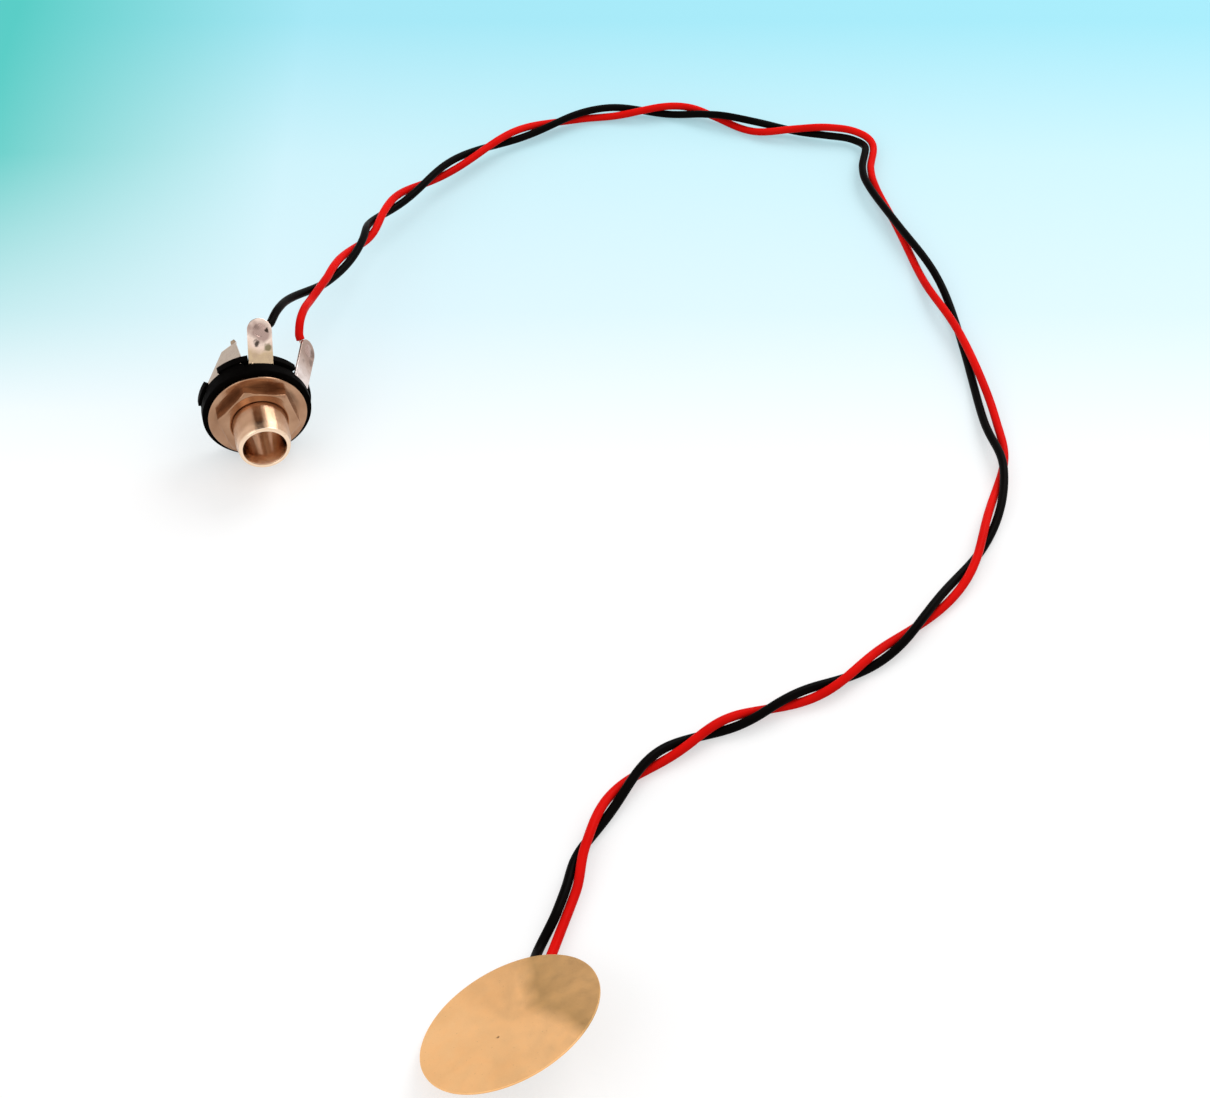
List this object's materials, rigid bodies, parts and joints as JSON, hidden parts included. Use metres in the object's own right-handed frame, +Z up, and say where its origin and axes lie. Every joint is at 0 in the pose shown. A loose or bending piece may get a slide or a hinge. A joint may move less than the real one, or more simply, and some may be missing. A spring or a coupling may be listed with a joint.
{
  "type": "contact piezo pickup",
  "caption": "Contact pickup: a thin brass piezo disc on a twisted red and black lead pair, soldered to an open-frame 6.35 mm panel jack with its nut and washer.",
  "frame": {"origin": "on the surface that the part lies on, under the middle of the box round the disc and the jack, leads left out", "axes": "+Z up; the jack lies on its rim with its axis along Y and its mouth toward -Y; the leads loop out toward +X"},
  "size_m": [0.1451, 0.2295, 0.0232],
  "materials": {
    "brass_plate": "bare, lightly tarnished brass",
    "ceramic": "fired piezo ceramic, matt",
    "silver_print": "fired silver print, satin",
    "nickel": "nickel plate, polished",
    "tinned_brass": "tinned sheet, smooth",
    "solder": "solder, bright",
    "strands": "tinned copper strands",
    "phenolic": "black moulded insulator",
    "red_insulation": "soft PVC, glossy",
    "black_insulation": "soft PVC, glossy"
  },
  "bodies": {
    "root": {"brass_disc": "brass_plate", "ceramic_element": "ceramic", "silver_electrode": "silver_print", "disc_solder_red": "solder", "disc_solder_black": "solder", "disc_strands_red": "strands", "disc_strands_black": "strands", "red_lead": "red_insulation", "black_lead": "black_insulation", "bushing": "nickel", "panel_nut": "nickel", "panel_washer": "nickel", "front_insulator": "phenolic", "tip_terminal": "tinned_brass", "insulating_washer": "phenolic", "sleeve_terminal": "tinned_brass", "rear_insulator": "phenolic", "clamp_washer": "nickel", "lug_solder_red": "solder", "lug_solder_black": "solder", "lug_strands_red": "strands", "lug_strands_black": "strands"}
  },
  "joints": []
}
